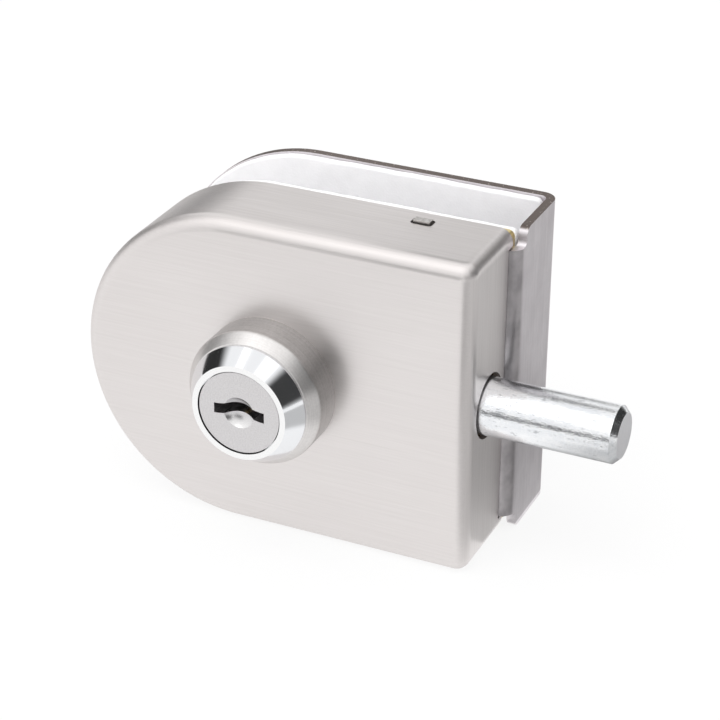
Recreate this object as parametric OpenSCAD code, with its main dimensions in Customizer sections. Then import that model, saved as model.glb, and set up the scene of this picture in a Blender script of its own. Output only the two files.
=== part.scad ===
// Clamp-on lock for a frameless glass door.
// A drawn cover with one round end hides a chassis, a rack and a round bolt. A key cylinder with a
// spacer collar turns the pinion that drives the rack. A U-bent clamp frame wraps the edge of the
// glass, and two screws press a padded plate against the front of the pane.
// X runs along the throw of the bolt, Y from the key side into the glass, Z up.
// The origin is on the key axis, at the face of the front pad that meets the glass.

/* [Cover] */
// Overall length of the cover, from the round end to the bolt side
case_length = 70.5; // [68:0.5:90]
// Height of the cover, and twice the radius of its round end
case_height = 56; // [56:1:66]
// Depth of the cover, from its face to its open rear edge
case_depth = 16.5; // [16:0.5:20]
// Wall of the drawn sheet of the cover
cover_wall = 1.2; // [0.8:0.1:1.4]
// Outer radius of the drawn front edge and of the two square corners
cover_round = 2.4; // [1.8:0.1:4]
// Distance of the key axis from the bolt side of the cover
key_from_side = 35.5; // [33:0.5:40]

/* [Clamp frame] */
// Open width between the two pads, ready for the pane
glass_gap = 10.2; // [8:0.1:13]
// Thickness of the clamp frame's sheet
sheet = 1.5; // [1:0.1:2]
// Outer radius of the two bends of the clamp frame
bend_radius = 2.8; // [2.2:0.1:3.5]
// How far the flange stands out past the bolt side of the cover
flange_proud = 1.9; // [1.7:0.1:2.2]
// How far the front leg stays inside the outline of the cover
leg_inset = 3.2; // [3:0.1:4]
// Radius at the foot of the relief notches, above and below the front bend
notch_radius = 1.2; // [0.6:0.1:1.4]
// Shift of the rear plate's round end towards the bolt, against the cover's
rear_plate_shift = 1; // [0:0.25:3]
// Travel of the pressure plate while the screws clamp the pane
clamp_travel = 2.2; // [1:0.1:2.4]

/* [Pads and pressure plate] */
// Thickness of the foam pad on the pressure plate
front_pad_thickness = 1.5; // [1:0.1:2.5]
// Thickness of the foam pad in the clamp frame
rear_pad_thickness = 1.5; // [1:0.1:3]
// Thickness of the pressure plate
plate_thickness = 1.2; // [0.8:0.1:2]
// How far the pressure plate and its pad stay inside the outline of the cover
plate_inset = 0.8; // [0.5:0.1:2]
// How far the rear pad stays inside the edge of the rear plate
rear_pad_inset = 0.2; // [0.2:0.1:2]
// Corner radius of the pads and of the pressure plate
pad_corner = 1.2; // [1:0.1:4]

/* [Clamp screws] */
// Thread diameter of the two clamp screws
screw_d = 5; // [4:0.5:6]
// Length of a clamp screw
screw_length = 12; // [9:0.5:12.5]
// Width across the square clamp nuts
nut_width = 8; // [7:0.25:8.4]
// Thickness of the clamp nuts
nut_thickness = 4; // [3:0.25:5]
// Width across the hexagon socket of a clamp screw
hex_af = 2.5; // [2:0.25:3]
// Diameter of the studs that guide the pressure plate
stud_d = 4; // [3:0.25:4.5]

/* [Bolt] */
// Diameter of the round bolt
bolt_d = 10; // [8:0.5:10]
// How far the thrown bolt stands out past the cover
bolt_throw_out = 23; // [22.5:0.5:32]
// Depth of the bolt's axis behind the face of the cover
bolt_depth = 8.5; // [8.3:0.1:8.8]
// Chamfer on the outer end of the bolt
bolt_chamfer = 1; // [0.4:0.1:2]
// How much smaller the radius of the bolt's nose is than that of its guided part
bolt_nose_relief = 0.18; // [0.16:0.01:0.3]
// Radial gap between the bolt and the hole in the cover
bolt_hole_gap = 0.6; // [0.3:0.1:0.8]
// Wall of the bush that guides the bolt
bush_wall = 1; // [0.7:0.1:1.1]

/* [Rack drive] */
// Teeth of the pinion
pinion_teeth = 10; // [9:1:10]
// Width of the pinion and the rack along the key axis
gear_width = 2.9; // [2:0.1:3]
// Height of the solid back of the rack above its tooth roots
rack_back = 3.35; // [2.5:0.05:3.5]
// Width of the tab that holds the rack to the bolt
tab_width = 4.3; // [4.1:0.1:5]

/* [Key cylinder] */
// Outer diameter of the spacer collar
collar_d = 24; // [22:0.5:30]
// Height of the straight part of the collar
collar_height = 5.5; // [3:0.5:10]
// Height of the bevel on top of the straight part
collar_bevel = 2; // [1:0.25:3]
// Diameter at the top of the bevel, where the cylinder head sits
collar_top_d = 21; // [20:0.5:22]
// Height of the cylinder head above the collar
head_height = 3.7; // [2.5:0.1:6]
// Diameter of the flat face of the head
head_face_d = 16.8; // [16:0.1:18]
// Diameter of the barrel that passes through the collar and the cover
barrel_d = 17.6; // [17:0.1:18]
// Diameter of the front disc of the plug
plug_face_d = 14.4; // [13:0.1:15]
// Diameter of the plug inside the barrel
plug_d = 11; // [10:0.25:11.5]
// Thickness of the front disc of the plug
plug_face_thickness = 2.4; // [1.5:0.1:3]
// Length of the key slot
key_slot_length = 9; // [7:0.25:9.5]
// Width of the key slot
key_slot_width = 1.8; // [1.2:0.1:2.2]
// How far the key slot arches up in its middle
key_slot_rise = 0.7; // [0:0.1:1.2]
// Diameter of the round dish round the middle of the slot
key_dish_d = 5.5; // [3:0.25:6]
// Depth of the dish
key_dish_depth = 1; // [0.4:0.1:1.4]
// Diameter of the pins
pin_d = 1.9; // [1.5:0.1:2.1]
// Number of pins
pin_count = 4; // [3:1:4]

/* [Cover catch] */
// Distance of the catch from the bolt side of the cover
catch_from_side = 14.2; // [13.5:0.1:15]
// Depth of the catch behind the face of the cover
catch_depth = 13; // [12.8:0.1:13.2]
// Length of the catch slot along the cover
catch_slot_length = 3.8; // [3:0.1:4.5]
// Width of the catch slot
catch_slot_width = 2.4; // [2:0.1:2.8]
// How far the lug stands out of the cover
catch_proud = 0.4; // [0.2:0.1:1]
// Travel of the lug when it is pressed to free the cover
catch_travel = 1.6; // [1.3:0.1:2]

/* [Fits] */
// Radial clearance of a running fit
running_fit = 0.05; // [0.02:0.01:0.09]
// Gap between pieces that pass or face each other
gap = 0.3; // [0.2:0.05:0.4]

/* [Hidden] */
$fn = 48;
// How far a cutting body runs past what it cuts
cut = 0.5;
// How far two bodies of one piece reach into each other
lap = 0.2;

// Depths along Y, from the pane forwards to the face of the cover
plate_rear_y = -front_pad_thickness;
plate_front_y = plate_rear_y - plate_thickness;
leg_rear_y = plate_front_y - gap;
leg_front_y = leg_rear_y - sheet;
cover_rear_y = leg_rear_y;
face_y = cover_rear_y - case_depth;
inner_face_y = face_y + cover_wall;
bolt_y = face_y + bolt_depth;

// Depths along Y, from the pane backwards to the rear of the clamp frame
rear_plate_front_y = glass_gap + rear_pad_thickness;
rear_plate_rear_y = rear_plate_front_y + sheet;

// Outline of the cover in X and Z
right_x = key_from_side;
left_x = right_x - case_length;
half_height = case_height / 2;
inner_right_x = right_x - cover_wall;
inner_half = half_height - cover_wall;

// Clamp frame
flange_out_x = right_x + flange_proud;
flange_in_x = flange_out_x - sheet;
bend_x = flange_out_x - bend_radius;
bend_inner = bend_radius - sheet;
// The plate and the pads reach as far into the bends as they clear them
plate_right_x = bend_x + 0.5 * bend_inner;
front_pad_right_x = bend_x + 0.75 * bend_inner;
rear_pad_right_x = bend_x + 0.55 * bend_inner;
front_bend_y = leg_front_y + bend_radius;
rear_bend_y = rear_plate_rear_y - bend_radius;
leg_half = half_height - leg_inset;
leg_left_x = left_x + leg_inset;
flange_corner = 1.5;

// Bolt and its bush
bolt_r = bolt_d / 2;
bolt_end_x = right_x + bolt_throw_out;
bolt_nose_r = bolt_r - bolt_nose_relief;
bolt_nose_x = flange_out_x + 0.6;
bolt_taper_x = inner_right_x;
bush_length = 2.8;
bush_x = inner_right_x - bush_length - 0.2;
bush_r = bolt_r + running_fit + bush_wall;
bolt_round_x = bush_x - gap;
block_half = bush_r + 2.9;
block_front_y = bolt_y - bush_r - 0.55;
cradle_front_y = bolt_y - bolt_r + 0.6;
cradle_top_z = 2.2 - bolt_r;
cradle_bottom_z = -bolt_r - 2.6;
cradle_play = 0.4;

// Rack drive. One turn of the key carries the tab of the rack from the bush back to the pinion, and
// the gear module follows from that run.
pressure_angle = 20;
addendum_share = 0.85;
dedendum_share = 1.1;
slack_share = 0.16;
tab_play = 0.6;
tab_x = bolt_round_x - tab_width;
tab_bottom_z = -4.2;
gear_module = (tab_x - tab_play) / (PI * pinion_teeth + pinion_teeth / 2 + addendum_share);
pitch_radius = gear_module * pinion_teeth / 2;
tooth_pitch = PI * gear_module;
bolt_travel = 2 * PI * pitch_radius;
addendum = addendum_share * gear_module;
dedendum = dedendum_share * gear_module;
tooth_slack = slack_share * gear_module;
pinion_tip_r = pitch_radius + addendum;
pinion_root_r = pitch_radius - dedendum;
chassis_thickness = 1.8;
chassis_front_y = leg_front_y - chassis_thickness;
gear_rear_y = chassis_front_y - gap;
gear_front_y = gear_rear_y - gear_width;
rack_root_z = pitch_radius + dedendum;
rack_top_z = rack_root_z + rack_back;
rack_left_x = -2.1 * tooth_pitch;
rack_run_out = 1.2;

// Chassis, with its plate flat against the front leg and its screws clear of the rack
chassis_left_gap = 7;
chassis_left_x = left_x + chassis_left_gap;
chassis_right_x = inner_right_x - 0.2;
chassis_corner = 3;
chassis_screw_inset = 3;
tab_screw_inset = 5.9;
m3_d = 3;
m3_head_d = 5.5;
m3_head_h = 2;
screw_x = [chassis_left_x + chassis_screw_inset, chassis_right_x - tab_screw_inset];
screw_z = rack_top_z + m3_head_d / 2 + 0.6;
chassis_half = screw_z + 3.5;

// Clamp screws, just clear of the chassis
screw_r = screw_d / 2;
screw_height = chassis_half + nut_width / 2 + 0.5;
clamp_screw_x = 0;
socket_depth = 3;

// Guide studs of the pressure plate, just clear of the chassis too
stud_r = stud_d / 2;
stud_head_r = stud_r + 1.2;
stud_head_t = 1.4;
stud_head_y = leg_front_y - clamp_travel - gap;
stud_z = chassis_half + stud_head_r + 0.8;
stud_left_inset = 19;
stud_right_inset = 5.5;
stud_x = [left_x + stud_left_inset, right_x - stud_right_inset];
stud_places = [for (x = stud_x, z = [-stud_z, stud_z]) [x, z]];

// Tang of the bolt, its flat and the screw that holds the rack's tab to it
tang_x = tab_x - 0.7;
bolt_screw_x = (tab_x + bolt_round_x) / 2;
bolt_screw_head_r = 2.1;
bolt_screw_r = 1.25;
bolt_screw_sink = 1.1;
bolt_screw_cone_r = bolt_screw_head_r - bolt_screw_sink + 0.2;
bolt_screw_grip = 3.4;
screw_tip_gap = 0.1;

// Rack keeper and the guide rail of the chassis
rail_z = rack_top_z + running_fit;
rail_top_z = chassis_half - 1.7;
rail_front_y = gear_front_y - gap;
keeper_thickness = 1.1;
keeper_front_y = rail_front_y - keeper_thickness;
keeper_z = bolt_r + 0.2;
keeper_left_x = chassis_left_x + 7;
keeper_right_x = tang_x - 3.5;
keeper_screw_inset = 3.5;
keeper_screw_x = [keeper_left_x + keeper_screw_inset, keeper_right_x - keeper_screw_inset];
keeper_screw_z = (rail_z + rail_top_z) / 2;
m2_d = 2;
m2_head_d = 3.8;
m2_head_h = 1.2;
m2_grip = 3.4;

// Key cylinder, built forwards from the face of the cover
collar_top_y = face_y - collar_height - collar_bevel;
head_face_y = collar_top_y - head_height;
head_edge = 0.4;
head_r = collar_top_d / 2 - 0.1;
barrel_r = barrel_d / 2;
barrel_flat = 7.9;
barrel_rear_y = bolt_y - bolt_r - gap;
barrel_wall = 1;
pin_chamber_foot_z = plug_d / 2 - 1;
clip_thickness = 1.2;
clip_groove_r = 7.3;
clip_r = 11;
plug_recess = 0.2;
plug_face_y = head_face_y + plug_recess;
plug_step_y = plug_face_y + plug_face_thickness;
plug_rear_y = barrel_rear_y - barrel_wall;
plug_r = plug_d / 2;
plug_face_gap = 0.2;
tail_r = 2.2;
tail_square = 3;
tail_clip_r = 3.3;
tail_groove_r = 1.6;
tail_clip_t = 0.6;
tail_clip_y = barrel_rear_y + 0.1;
key_slot_end_y = plug_rear_y - 1.2;
dish_r = (pow(key_dish_d / 2, 2) + pow(key_dish_depth, 2)) / 2 / key_dish_depth;
drive_screw_r = 0.9;
drive_screw_head_r = 1.9;
drive_screw_head_h = 1.2;
drive_screw_grip = 1.8;

// Pins, in a row along the key axis
pin_r = pin_d / 2;
pin_pitch = pin_d + 0.4;
pin_point = 0.5;
pin_spring_r = pin_r - 0.1;
pin_spring_bore_r = pin_r - 0.4;
first_pin_y = plug_step_y + pin_r + 0.5;
last_pin_y = first_pin_y + (pin_count - 1) * pin_pitch;
key_pin_top_z = sqrt(pow(plug_r, 2) - pow(pin_r, 2));
driver_foot_z = plug_r + running_fit;
driver_top_z = 6.7;
cap_z = barrel_r - 0.85;
cap_front_y = first_pin_y - pin_r - gap;
cap_rear_y = last_pin_y + pin_r + gap;
cap_thickness = 0.6;
cap_width = 3;

// Cover catch
catch_x = right_x - catch_from_side;
catch_y = face_y + catch_depth;
catch_slot_corner = 0.7;
lug_play = 0.45;
lug_length = catch_slot_length - 2 * lug_play;
lug_width = catch_slot_width - 2 * lug_play;
catch_base_z = inner_half - gap;
catch_base_t = 1.4;
catch_base_length = 7;
catch_base_width = 3.6;
catch_stem_r = 1.2;
catch_spring_length = 5.6;
spring_in_r = 1.4;
spring_out_r = 1.9;
tower_top_z = catch_base_z - catch_base_t - catch_spring_length;
tower_length = 7.5;
tower_front_y = catch_y - 3;
tower_foot_z = rail_top_z - 0.8;
stem_bottom_z = tower_top_z - 2.6;
stem_bore_z = stem_bottom_z - catch_travel - 0.4;
lower_lug_z = half_height - 0.4;
lower_arm_z = inner_half - gap;

// A quarter of a disc in the first quadrant
module quarter(r) {
    intersection() {
        circle(r);
        square(r + cut);
    }
}

// A flat piece in X and Z, given its thickness along Y from y0 back to y1
module slab(y0, y1) {
    translate([0, y1, 0]) rotate([90, 0, 0]) linear_extrude(y1 - y0) children();
}

// A round bar along Y
module rod_y(x, z, y0, y1, r) {
    translate([x, y1, z]) rotate([90, 0, 0]) cylinder(h = y1 - y0, r = r);
}

// A round bar along X
module rod_x(x0, x1, y, z, r) {
    translate([x0, y, z]) rotate([0, 90, 0]) cylinder(h = x1 - x0, r = r);
}

// A cone along Y, with radius r0 at y0 and r1 at y1
module cone_y(x, z, y0, y1, r0, r1) {
    translate([x, y1, z]) rotate([90, 0, 0]) cylinder(h = y1 - y0, r1 = r1, r2 = r0);
}

// A block between two corners
module block(a, b) {
    translate(a) cube(b - a);
}

// An outline with a round left end and two right corners, square where their radius is 0
module d_outline(left, right, half, corner) {
    translate([left + half, 0]) intersection() {
        circle(r = half, $fn = 96);
        translate([-half - cut, -half - cut]) square([half + cut, 2 * (half + cut)]);
    }
    translate([left + half, -half]) square([right - corner - left - half, 2 * half]);
    if (corner > 0) translate([right - corner, 0]) {
        translate([0, corner - half]) square([corner, 2 * (half - corner)]);
        translate([0, half - corner]) quarter(corner);
        translate([0, corner - half]) mirror([0, 1]) quarter(corner);
    }
}

// A closed form with the cover's outline, whose front edge is rounded all the way round
module cover_form(inset, rear_y) {
    r = cover_round - inset;
    half = half_height - inset;
    end_x = left_x + half_height;
    x1 = right_x - inset - r;
    y0 = face_y + inset;
    depth = rear_y - y0;
    // Round end, turned about its own axis
    translate([end_x, rear_y, 0]) rotate([90, 0, 0]) rotate([0, 0, 90])
        rotate_extrude(angle = 180, $fn = 96) rounded_edge(half, depth, r);
    // Straight run, with the rounded edge at its top and bottom
    translate([end_x, rear_y, 0]) rotate([0, -90, 180]) linear_extrude(x1 - end_x)
        run_section(half, depth, r);
    // Bolt side, between its two corners
    translate([x1, rear_y, r - half]) linear_extrude(2 * (half - r))
        mirror([0, 1]) rounded_edge(r, depth, r);
    // Two corners
    for (side = [0, 1]) mirror([0, 0, side])
        translate([x1, rear_y, half - r]) rotate([90, 0, 0])
            rotate_extrude(angle = 90) rounded_edge(r, depth, r);
}

// Section from the axis out to a rounded edge: width w, height h, edge radius r
module rounded_edge(w, h, r) {
    square([w, h - r]);
    if (w > r) translate([0, h - r]) square([w - r, r]);
    translate([w - r, h - r]) quarter(r);
}

// Full section of the straight run, in height (first axis) and depth (second axis)
module run_section(half, h, r) {
    rounded_edge(half, h, r);
    mirror([1, 0]) rounded_edge(half, h, r);
}

// Slot with rounded corners for the catch, cut along Z
module catch_slot(z0, z1) {
    r = catch_slot_corner;
    l = catch_slot_length - 2 * r;
    w = catch_slot_width - 2 * r;
    translate([catch_x, catch_y, z0]) linear_extrude(z1 - z0) {
        square([l, catch_slot_width], center = true);
        square([catch_slot_length, w], center = true);
        for (sx = [-1, 1], sy = [-1, 1]) translate([sx * l / 2, sy * w / 2]) circle(r);
    }
}

// Flats that stop the barrel from turning in the cover
module flats(y0, y1, half) {
    block([-half, y0, -barrel_r - cut], [half, y1, barrel_r + cut]);
}

module front_cover() {
    color("gainsboro") difference() {
        cover_form(0, cover_rear_y);
        cover_form(cover_wall, cover_rear_y + cut);
        // Hole for the bolt
        rod_x(inner_right_x - cut, right_x + cut, bolt_y, 0, bolt_r + bolt_hole_gap);
        // Hole for the barrel, with two flats
        intersection() {
            rod_y(0, 0, face_y - cut, inner_face_y + cut, barrel_r + running_fit);
            flats(face_y - cut, inner_face_y + cut, barrel_flat + running_fit);
        }
        // Set-back that lets the front leg pass
        block([inner_right_x - cover_round, leg_front_y - gap, -leg_half - gap],
              [right_x + cut, cover_rear_y + cut, leg_half + gap]);
        catch_slot(inner_half - cut, half_height + cut);
        catch_slot(-half_height - cut, cut - inner_half);
    }
}

module collar() {
    color("silver") difference() {
        union() {
            rod_y(0, 0, face_y - collar_height, face_y, collar_d / 2);
            cone_y(0, 0, collar_top_y, face_y - collar_height, collar_top_d / 2, collar_d / 2);
        }
        rod_y(0, 0, collar_top_y - cut, face_y + cut, barrel_r + running_fit);
    }
}

module cylinder_housing() {
    color("whitesmoke") difference() {
        union() {
            rod_y(0, 0, collar_top_y - head_edge, collar_top_y, head_r);
            cone_y(0, 0, head_face_y, collar_top_y - head_edge, head_face_d / 2, head_r);
            rod_y(0, 0, collar_top_y - head_edge, face_y, barrel_r);
            intersection() {
                rod_y(0, 0, face_y, barrel_rear_y, barrel_r);
                flats(face_y - cut, barrel_rear_y + cut, barrel_flat);
            }
        }
        // Groove for the clip, just behind the wall of the cover
        difference() {
            rod_y(0, 0, inner_face_y, inner_face_y + clip_thickness, barrel_r + cut);
            rod_y(0, 0, inner_face_y - cut, inner_face_y + clip_thickness + cut, clip_groove_r);
        }
        rod_y(0, 0, head_face_y - cut, plug_step_y, plug_face_d / 2 + plug_face_gap);
        rod_y(0, 0, plug_step_y - cut, plug_rear_y, plug_r + running_fit);
        rod_y(0, 0, plug_rear_y - cut, barrel_rear_y + cut, tail_r + running_fit);
        for (i = [0 : pin_count - 1])
            translate([0, first_pin_y + i * pin_pitch, pin_chamber_foot_z])
                cylinder(h = cap_z + lap - pin_chamber_foot_z, r = pin_r + running_fit);
        // Seat of the cap strip, open upwards
        block([-cap_width / 2, cap_front_y, cap_z], [cap_width / 2, cap_rear_y, barrel_r + lap]);
    }
}

module cylinder_clip() {
    y0 = inner_face_y;
    y1 = inner_face_y + clip_thickness;
    color("dimgray") difference() {
        rod_y(0, 0, y0, y1, clip_r);
        rod_y(0, 0, y0 - cut, y1 + cut, clip_groove_r);
        block([-clip_groove_r, y0 - cut, -clip_r - cut], [clip_groove_r, y1 + cut, 0]);
    }
}

module chamber_cap() {
    color("darkkhaki")
        block([-cap_width / 2, cap_front_y, cap_z], [cap_width / 2, cap_rear_y, cap_z + cap_thickness]);
}

module driver_springs() {
    color("lightgray") for (i = [0 : pin_count - 1])
        translate([0, first_pin_y + i * pin_pitch, driver_top_z]) difference() {
            cylinder(h = cap_z - driver_top_z, r = pin_spring_r);
            translate([0, 0, -cut]) cylinder(h = cap_z - driver_top_z + 2 * cut, r = pin_spring_bore_r);
        }
}

module driver_pins() {
    color("goldenrod") for (i = [0 : pin_count - 1])
        translate([0, first_pin_y + i * pin_pitch, driver_foot_z])
            cylinder(h = driver_top_z - driver_foot_z, r = pin_r);
}

// Each key pin has a blunt point that reaches down to the top of the key slot
module key_pins() {
    low = key_slot_rise + key_slot_width / 2;
    color("goldenrod") for (i = [0 : pin_count - 1])
        translate([0, first_pin_y + i * pin_pitch, 0]) rotate_extrude() polygon([
            [0, low], [pin_r - pin_point, low], [pin_r, low + pin_point],
            [pin_r, key_pin_top_z], [0, key_pin_top_z]]);
}

// Height of the key slot's middle line: a wave that is highest on the key axis and level at both ends
function slot_z(u) = key_slot_rise * (1 + cos(180 * u)) / 2;

// Arched key slot, seen from the front
module key_slot_outline() {
    steps = 6;
    half = key_slot_length / 2;
    polygon(concat(
        [for (i = [-steps : steps]) [half * i / steps, slot_z(i / steps) + key_slot_width / 2]],
        [for (i = [steps : -1 : -steps]) [half * i / steps, slot_z(i / steps) - key_slot_width / 2]]));
}

module key_plug() {
    color("lightgray") difference() {
        union() {
            rod_y(0, 0, plug_face_y, plug_step_y - running_fit, plug_face_d / 2);
            rod_y(0, 0, plug_step_y - cut, plug_rear_y - running_fit, plug_r);
            rod_y(0, 0, plug_rear_y - cut, gear_front_y, tail_r);
            block([-tail_square / 2, gear_front_y - cut, -tail_square / 2],
                  [tail_square / 2, gear_rear_y, tail_square / 2]);
        }
        slab(plug_face_y - cut, key_slot_end_y) key_slot_outline();
        translate([0, plug_face_y + key_dish_depth - dish_r, 0]) sphere(dish_r);
        for (i = [0 : pin_count - 1])
            translate([0, first_pin_y + i * pin_pitch, 0]) cylinder(h = plug_r + cut, r = pin_r);
        // Groove for the clip behind the barrel
        difference() {
            rod_y(0, 0, tail_clip_y, tail_clip_y + tail_clip_t, tail_r + cut);
            rod_y(0, 0, tail_clip_y - cut, tail_clip_y + tail_clip_t + cut, tail_groove_r);
        }
        rod_y(0, 0, gear_front_y - drive_screw_grip - screw_tip_gap, gear_rear_y + cut, drive_screw_r);
    }
}

module plug_clip() {
    y0 = tail_clip_y;
    y1 = y0 + tail_clip_t;
    color("dimgray") difference() {
        rod_y(0, 0, y0, y1, tail_clip_r);
        rod_y(0, 0, y0 - cut, y1 + cut, tail_groove_r);
        block([-tail_groove_r, y0 - cut, -tail_clip_r - cut], [tail_groove_r, y1 + cut, 0]);
    }
}

// Involute of a circle of radius r, t degrees along
function involute(r, t) = [r * (cos(t) + t * PI / 180 * sin(t)), r * (sin(t) - t * PI / 180 * cos(t))];
function turned(p, a) = [p[0] * cos(a) - p[1] * sin(a), p[0] * sin(a) + p[1] * cos(a)];

// One flank from the base circle to the tip, turned so that the tooth is centred on the first axis
function flank(side) =
    let (base = pitch_radius * cos(pressure_angle),
         half_tooth = (tooth_pitch / 2 - tooth_slack) / pitch_radius / 2 * 180 / PI,
         at_pitch = tan(pressure_angle) * 180 / PI - pressure_angle,
         t_tip = sqrt(pow(pinion_tip_r / base, 2) - 1) * 180 / PI)
    [for (i = [0 : 5]) let (p = turned(involute(base, t_tip * i / 5), -half_tooth - at_pitch))
        [p[0], side * p[1]]];

// One tooth along the first axis, with its foot inside the root circle
module pinion_tooth() {
    low = flank(1);
    high = flank(-1);
    foot = pinion_root_r - 2 * lap;
    polygon(concat([[foot, low[0][1]]], low, [for (i = [5 : -1 : 0]) high[i]], [[foot, high[0][1]]]));
}

module drive_pinion() {
    color("khaki") difference() {
        slab(gear_front_y, gear_rear_y) {
            circle(pinion_root_r);
            for (i = [0 : pinion_teeth - 1]) rotate(90 + i * 360 / pinion_teeth) pinion_tooth();
        }
        block([-tail_square / 2, gear_front_y - cut, -tail_square / 2],
              [tail_square / 2, gear_rear_y + cut, tail_square / 2]);
    }
}

module drive_screw() {
    color("gray") {
        rod_y(0, 0, gear_front_y - drive_screw_grip, gear_rear_y, drive_screw_r);
        rod_y(0, 0, gear_rear_y, gear_rear_y + drive_screw_head_h, drive_screw_head_r);
    }
}

module bolt() {
    length = bolt_end_x - tang_x;
    color("lightsteelblue") difference() {
        translate([tang_x, bolt_y, 0]) rotate([0, 90, 0]) rotate_extrude() polygon([
            [0, 0], [bolt_r, 0], [bolt_r, bolt_taper_x - tang_x], [bolt_nose_r, bolt_nose_x - tang_x],
            [bolt_nose_r, length - bolt_chamfer], [bolt_nose_r - bolt_chamfer, length], [0, length]]);
        // Flat that the tab of the rack lies on
        block([tang_x - cut, gear_front_y, -bolt_r - cut],
              [bolt_round_x, bolt_y + bolt_r + cut, bolt_r + cut]);
        rod_y(bolt_screw_x, 0, gear_front_y - bolt_screw_grip - screw_tip_gap, gear_front_y + cut,
              bolt_screw_r);
    }
}

// Straight-sided rack tooth, pointing down, with its middle at x
module rack_tooth(x) {
    half = (tooth_pitch / 2 - tooth_slack) / 2;
    lean = tan(pressure_angle);
    tip = half - addendum * lean;
    root = half + (dedendum + lap) * lean;
    polygon([[x - tip, pitch_radius - addendum], [x + tip, pitch_radius - addendum],
             [x + root, rack_root_z + lap], [x - root, rack_root_z + lap]]);
}

module bolt_rack() {
    last = floor((bolt_travel + rack_run_out) / tooth_pitch);
    color("silver") difference() {
        slab(gear_front_y, gear_rear_y) {
            translate([rack_left_x, rack_root_z])
                square([bolt_round_x - rack_left_x, rack_top_z - rack_root_z]);
            translate([tab_x, tab_bottom_z]) square([tab_width, rack_root_z - tab_bottom_z + lap]);
            for (i = [-2 : last]) rack_tooth((i + 0.5) * tooth_pitch);
        }
        rod_y(bolt_screw_x, 0, gear_front_y - cut, gear_rear_y + cut, bolt_screw_r);
        cone_y(bolt_screw_x, 0, gear_rear_y - bolt_screw_sink, gear_rear_y, bolt_screw_cone_r,
               bolt_screw_head_r);
    }
}

module bolt_screw() {
    color("gray") {
        rod_y(bolt_screw_x, 0, gear_front_y - bolt_screw_grip, gear_rear_y - lap, bolt_screw_r);
        cone_y(bolt_screw_x, 0, gear_rear_y - bolt_screw_sink, gear_rear_y, bolt_screw_cone_r,
               bolt_screw_head_r);
    }
}

module bolt_bush() {
    color("peru") difference() {
        rod_x(bush_x, bush_x + bush_length, bolt_y, 0, bush_r);
        rod_x(bush_x - cut, bush_x + bush_length + cut, bolt_y, 0, bolt_r + running_fit);
    }
}

module lock_chassis() {
    width = chassis_right_x - chassis_left_x;
    color("darkgray") difference() {
        union() {
            // Plate against the front leg
            slab(chassis_front_y, leg_front_y) translate([chassis_left_x, -chassis_half]) {
                translate([chassis_corner, 0]) square([width - 2 * chassis_corner, 2 * chassis_half]);
                translate([0, chassis_corner]) square([width, 2 * (chassis_half - chassis_corner)]);
                for (x = [chassis_corner, width - chassis_corner])
                    for (z = [chassis_corner, 2 * chassis_half - chassis_corner])
                        translate([x, z]) circle(chassis_corner);
            }
            // Rail above the rack
            block([keeper_left_x, rail_front_y, rail_z], [keeper_right_x, chassis_front_y + cut, rail_top_z]);
            // Cradle below the bolt
            block([pinion_tip_r + cradle_play, cradle_front_y, cradle_bottom_z],
                  [bush_x, chassis_front_y + cut, cradle_top_z]);
            // Block that holds the bush
            block([bush_x, block_front_y, -block_half], [chassis_right_x, chassis_front_y + cut, block_half]);
            // Tower of the catch and arm of the fixed lug
            block([catch_x - tower_length / 2, tower_front_y, tower_foot_z],
                  [catch_x + tower_length / 2, leg_front_y, tower_top_z]);
            block([catch_x - tower_length / 2, tower_front_y, -lower_arm_z],
                  [catch_x + tower_length / 2, leg_front_y, cut - chassis_half]);
            block([catch_x - lug_length / 2, catch_y - lug_width / 2, -lower_lug_z],
                  [catch_x + lug_length / 2, catch_y + lug_width / 2, cut - lower_arm_z]);
        }
        // Path of the bolt, of the rack's tab and of the bush
        rod_x(0, bush_x + cut, bolt_y, 0, bolt_r + running_fit);
        block([0, gear_front_y - gap, tab_bottom_z - gap], [bush_x, chassis_front_y, rail_z]);
        rod_x(bush_x, inner_right_x + cut, bolt_y, 0, bush_r);
        // Bearing of the drive screw
        rod_y(0, 0, chassis_front_y - cut, leg_front_y + cut, drive_screw_head_r + running_fit);
        // Guide of the catch stem
        translate([catch_x, catch_y, stem_bore_z])
            cylinder(h = tower_top_z + cut - stem_bore_z, r = catch_stem_r + running_fit);
        for (x = screw_x, s = [-1, 1])
            rod_y(x, s * screw_z, chassis_front_y - cut, leg_front_y + cut, m3_d / 2);
        for (x = keeper_screw_x)
            rod_y(x, keeper_screw_z, rail_front_y - cut, rail_front_y + m2_grip + screw_tip_gap, m2_d / 2);
    }
}

module rack_keeper() {
    color("lightgray") difference() {
        block([keeper_left_x, keeper_front_y, keeper_z], [keeper_right_x, rail_front_y, rail_top_z]);
        for (x = keeper_screw_x)
            rod_y(x, keeper_screw_z, keeper_front_y - cut, rail_front_y + cut, m2_d / 2);
    }
}

module keeper_screws() {
    color("gray") for (x = keeper_screw_x) {
        rod_y(x, keeper_screw_z, keeper_front_y - m2_head_h, keeper_front_y, m2_head_d / 2);
        rod_y(x, keeper_screw_z, keeper_front_y - lap, rail_front_y + m2_grip, m2_d / 2);
    }
}

module chassis_screws() {
    color("gray") for (x = screw_x, s = [-1, 1]) {
        rod_y(x, s * screw_z, chassis_front_y - m3_head_h, chassis_front_y, m3_head_d / 2);
        rod_y(x, s * screw_z, chassis_front_y - lap, leg_rear_y, m3_d / 2);
    }
}

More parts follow.
